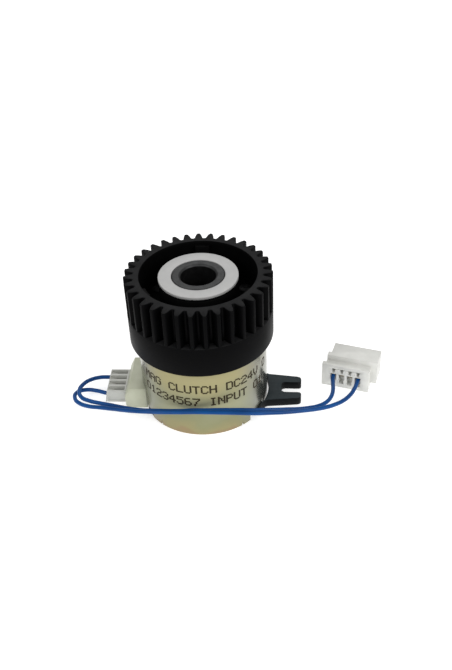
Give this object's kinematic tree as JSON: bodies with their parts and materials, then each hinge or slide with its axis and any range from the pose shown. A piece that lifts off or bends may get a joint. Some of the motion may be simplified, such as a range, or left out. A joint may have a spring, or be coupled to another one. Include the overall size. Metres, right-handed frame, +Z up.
{
  "type": "electromagnetic clutch",
  "caption": "Small electromagnetic clutch: a toothed plastic gear on a hollow hub above a round magnet body with a forked torque arm, plug and leads.",
  "frame": {"origin": "on the clutch axis, in the plane of the yoke's foot", "axes": "+Z up along the clutch axis from the magnet body to the gear; +X along the torque arm, away from the plug"},
  "size_m": [0.075, 0.0343, 0.0354],
  "materials": {
    "yellow_zinc": "satin",
    "steel": "machined",
    "sintered": "sintered, oiled",
    "spring_steel": "bright",
    "copper": "enamelled",
    "black_gear": "moulded",
    "black_arm": "moulded",
    "facing": "ground",
    "collar": "moulded",
    "natural": "turned",
    "bobbin": "moulded",
    "tape": "film",
    "black_steel": "blackened",
    "header": "moulded",
    "connector_white": "moulded",
    "tin": "tinned",
    "lead_blue": "extruded"
  },
  "bodies": {
    "magnet_body": {"yoke_shell": "yellow_zinc", "base_plate": "steel", "core_tube": "steel", "coil_bobbin": "bobbin", "coil_winding": "copper", "winding_tape": "tape", "stator_bush": "natural", "arm_plate": "black_arm", "connector_header": "header", "header_pin_1": "tin", "header_pin_2": "tin", "header_pin_3": "tin", "header_pin_4": "tin", "plug_housing": "connector_white", "plug_contact_1": "tin", "plug_contact_2": "tin", "plug_contact_3": "tin", "plug_contact_4": "tin", "lead_wire_1": "lead_blue", "lead_wire_2": "lead_blue", "free_connector_housing": "connector_white", "free_contact_1": "tin", "free_contact_2": "tin", "free_contact_3": "tin", "free_contact_4": "tin"},
    "rotor": {"rotor_hub": "sintered", "rotor_disc": "steel", "friction_facing": "facing", "retaining_collar": "collar", "thrust_washer": "spring_steel", "bottom_washer": "natural", "retaining_clip": "spring_steel"},
    "gear": {"gear_rim": "black_gear", "gear_web": "black_gear", "leaf_spring": "spring_steel", "gear_rivet_1": "black_steel", "gear_rivet_2": "black_steel", "gear_rivet_3": "black_steel"},
    "armature": {"armature_disc": "yellow_zinc", "armature_rivet_1": "spring_steel", "armature_rivet_2": "spring_steel", "armature_rivet_3": "spring_steel"}
  },
  "joints": [
    {"name": "rotor_spin", "type": "hinge", "parent": "magnet_body", "child": "rotor", "pos_m": [0, 0, 0], "axis": [0, 0, 1], "continuous": true},
    {"name": "gear_spin", "type": "hinge", "parent": "rotor", "child": "gear", "pos_m": [0, 0, 0], "axis": [0, 0, 1], "continuous": true},
    {"name": "armature_pull", "type": "slide", "parent": "gear", "child": "armature", "axis": [0, 0, -1], "range_m": [0, 0.0003], "stiffness_N_per_m": 2000, "springref_m": -0.0001, "deforming": ["leaf_spring"]}
  ]
}
